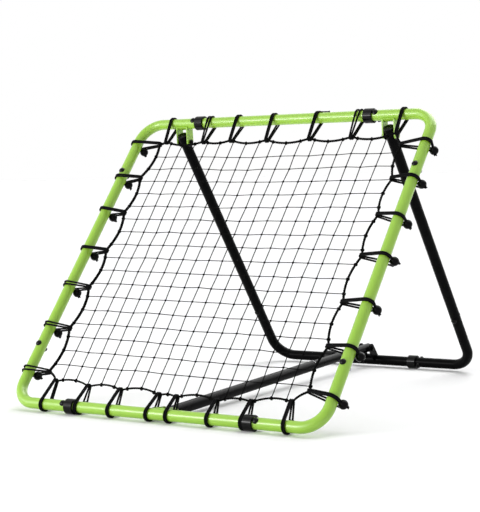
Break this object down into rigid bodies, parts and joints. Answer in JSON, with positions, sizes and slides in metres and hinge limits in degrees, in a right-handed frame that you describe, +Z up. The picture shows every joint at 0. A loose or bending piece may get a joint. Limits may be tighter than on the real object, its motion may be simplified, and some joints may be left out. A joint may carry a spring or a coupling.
{
  "type": "pitch back rebounder",
  "caption": "Leaning square tube frame with a knotted net hung inside on elastic loops, a hinged rear frame and a telescoping floor strut; it sends a thrown ball back.",
  "frame": {"origin": "on the floor, midway between the front and the rear floor rails", "axes": "+X to the right as a player in front sees it, +Y from the front rail towards the rear rail, +Z up"},
  "size_m": [1.0112, 1.1431, 0.7863],
  "materials": {
    "green_tube": "glossy lime green powder coat",
    "black_tube": "semi-gloss black powder coat",
    "black_plastic": "satin moulded",
    "black_bolt": "gloss black",
    "steel": "zinc plated",
    "net_string": "twisted cord",
    "border_rope": "laid rope",
    "elastic": "braided sheath",
    "ball": "gloss"
  },
  "bodies": {
    "strut_outer": {"strut_outer_tube": "black_tube", "strut_front_cap": "black_plastic"},
    "front_frame": {"top_centre_tube": "green_tube", "bottom_centre_tube": "green_tube", "top_left_corner": "green_tube", "top_right_corner": "green_tube", "bottom_left_corner": "green_tube", "bottom_right_corner": "green_tube", "left_side_tube": "green_tube", "right_side_tube": "green_tube", "left_hinge_bracket": "green_tube", "right_hinge_bracket": "green_tube", "strut_front_bracket": "green_tube", "top_left_collar": "black_plastic", "top_right_collar": "black_plastic", "bottom_left_collar": "black_plastic", "bottom_right_collar": "black_plastic", "frame_joint_bolts": "black_bolt", "frame_joint_nuts": "black_bolt", "hinge_bolts": "black_bolt", "hinge_nuts": "black_bolt", "hinge_washers": "black_plastic", "strut_front_bolt": "black_bolt", "strut_front_nut": "black_bolt", "net": "net_string", "net_border_rope": "border_rope", "top_cords": "elastic", "bottom_cords": "elastic", "left_cords": "elastic", "right_cords": "elastic", "top_cord_balls": "ball", "bottom_cord_balls": "ball", "left_cord_balls": "ball", "right_cord_balls": "ball"},
    "rear_frame": {"left_leg_tube": "black_tube", "right_leg_tube": "black_tube", "left_leg_cap": "black_plastic", "right_leg_cap": "black_plastic", "rear_left_corner": "black_tube", "rear_right_corner": "black_tube", "rear_centre_tube": "black_tube", "rear_left_collar": "black_plastic", "rear_right_collar": "black_plastic", "strut_rear_bracket": "black_tube", "rear_joint_bolts": "black_bolt", "rear_joint_nuts": "black_bolt", "strut_rear_bolt": "black_bolt", "strut_rear_nut": "black_bolt"},
    "strut_inner": {"strut_inner_tube": "black_tube", "strut_rear_cap": "black_plastic", "button_spring": "steel"},
    "lock_button": {"strut_button": "steel"}
  },
  "joints": [
    {"name": "front_swing", "type": "hinge", "parent": "strut_outer", "child": "front_frame", "pos_m": [0, -0.50106, 0.01797], "axis": [1, 0, 0], "range_deg": [0, 5.77]},
    {"name": "rear_swing", "type": "hinge", "parent": "front_frame", "child": "rear_frame", "pos_m": [0, 0.07273, 0.71132], "axis": [1, 0, 0], "range_deg": [-14.6, 0]},
    {"name": "strut_slide", "type": "slide", "parent": "strut_outer", "child": "strut_inner", "axis": [0, 0.9992, 0.0409], "range_m": [-0.1765, 0], "deforming": ["strut_button"]},
    {"name": "button_press", "type": "slide", "parent": "strut_inner", "child": "lock_button", "axis": [1, 0, 0], "range_m": [0, 0.003], "stiffness_N_per_m": 800, "springref_m": -0.002, "deforming": ["button_spring"]}
  ],
  "couplings": [
    {"joint": "rear_swing", "follows": "front_swing", "ratio": -2.518},
    {"joint": "strut_slide", "follows": "front_swing", "m_per_rad": -1.748}
  ]
}
